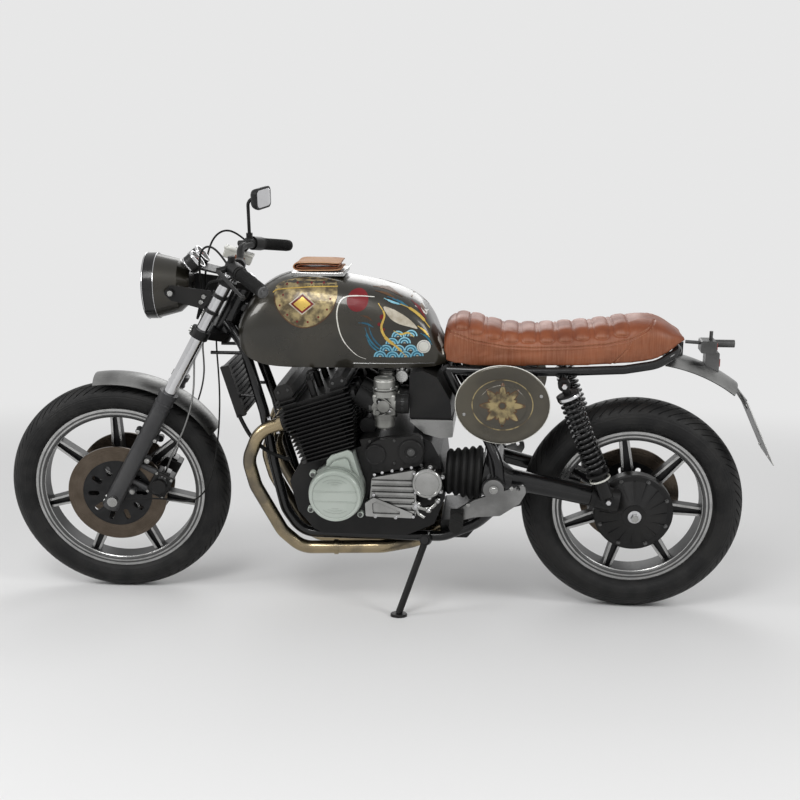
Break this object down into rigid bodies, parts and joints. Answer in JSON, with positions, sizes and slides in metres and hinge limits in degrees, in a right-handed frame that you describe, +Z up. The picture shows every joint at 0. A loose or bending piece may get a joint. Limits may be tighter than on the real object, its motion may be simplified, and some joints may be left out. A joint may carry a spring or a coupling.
{
  "type": "cafe racer motorcycle",
  "caption": "Cafe racer motorcycle leaning on its side stand: cast spoked wheels, round headlamp, air-cooled engine across the frame, shaft drive, tufted leather seat.",
  "frame": {"origin": "on the floor under the middle of the parked motorcycle's box", "axes": "+X forward, +Y to the rider's left, +Z up; it leans 9 degrees to +Y on its side stand"},
  "size_m": [2.262, 0.7695, 1.2461],
  "materials": {
    "alloy_wheel": "cast and painted dark, edges machined bright",
    "tyre_black": "road tyre",
    "disc_steel": "ground, brown from heat",
    "steel_chrome": "polished",
    "black_metal": "gloss black",
    "engine_black": "satin black",
    "engine_castings": "cast, coated satin black",
    "slider_castings": "cast, matte grey",
    "cover_castings": "cast, pale silver lacquer",
    "bronze_paint": "metallic dark bronze",
    "lamp_glass": "clear",
    "grip_rubber": "matte",
    "white_plastic": "translucent white",
    "black_plastic": "matte",
    "mirror_shell": "gloss",
    "brushed_aluminium": "brushed",
    "bright_steel": "bright",
    "header_steel": "heat tinted",
    "tan_leather": "folded and strapped",
    "cognac_leather": "tufted and sewn",
    "plate_white": "blank",
    "lamp_red": "gloss"
  },
  "bodies": {
    "frame": {"crankcase": "engine_castings", "cylinder_block": "engine_castings", "cylinder_head": "engine_castings", "cam_cover": "engine_castings", "generator_cover": "cover_castings", "gear_cover": "steel_chrome", "crankcase_covers": "engine_castings", "carburettors": "brushed_aluminium", "intake_rubbers": "grip_rubber", "airbox": "black_plastic", "airbox_tray": "brushed_aluminium", "exhaust_headers": "header_steel", "silencer": "engine_black", "oil_cooler": "engine_castings", "fuel_tank": "bronze_paint", "tank_fittings": "bright_steel", "leather_roll": "tan_leather", "seat": "cognac_leather", "side_covers": "bronze_paint", "battery_box": "black_plastic", "rear_fender": "brushed_aluminium", "number_plate": "plate_white", "tail_lamp": "lamp_red", "final_drive": "engine_castings", "rear_axle": "bright_steel", "shock_dampers": "black_metal", "shock_springs": "black_metal", "footrest_plates": "brushed_aluminium", "footpegs": "grip_rubber", "main_frame": "black_metal", "drive_boot": "grip_rubber", "swingarm": "black_metal", "rear_caliper": "engine_castings"},
    "steering": {"upper_yoke": "black_metal", "lower_yoke": "black_metal", "fork_tubes": "steel_chrome", "fork_sliders": "slider_castings", "front_axle": "bright_steel", "headlamp_shell": "bronze_paint", "headlamp_rim": "steel_chrome", "headlamp_lens": "lamp_glass", "headlamp_ears": "black_metal", "handlebar": "black_metal", "grips": "grip_rubber", "controls": "black_metal", "mirror": "mirror_shell", "brake_reservoir": "white_plastic", "gauges": "black_plastic", "front_fender": "brushed_aluminium", "front_calipers": "engine_castings"},
    "front_wheel_group": {"front_wheel": "alloy_wheel", "front_tyre": "tyre_black", "front_discs": "disc_steel"},
    "rear_wheel_group": {"rear_wheel": "alloy_wheel", "rear_tyre": "tyre_black", "rear_disc": "disc_steel"},
    "stand": {"side_stand": "black_metal"}
  },
  "joints": [
    {"name": "steering", "type": "hinge", "parent": "frame", "child": "steering", "pos_m": [0.75313, -0.08759, 0.30364], "axis": [-0.4914, 0.1362, 0.8602], "range_deg": [-37, 25]},
    {"name": "front_wheel_spin", "type": "hinge", "parent": "steering", "child": "front_wheel_group", "pos_m": [0.79817, -0.07824, 0.32789], "axis": [-0.0912, 0.9742, -0.2063], "continuous": true},
    {"name": "rear_wheel_spin", "type": "hinge", "parent": "frame", "child": "rear_wheel_group", "pos_m": [-0.7466, -0.08546, 0.31885], "axis": [-0.0002, 0.9877, -0.1564], "continuous": true},
    {"name": "side_stand", "type": "hinge", "parent": "frame", "child": "stand", "pos_m": [-0.1522, 0.05574, 0.21884], "axis": [0.1119, 0.9735, 0.1994], "range_deg": [0, 108]}
  ]
}
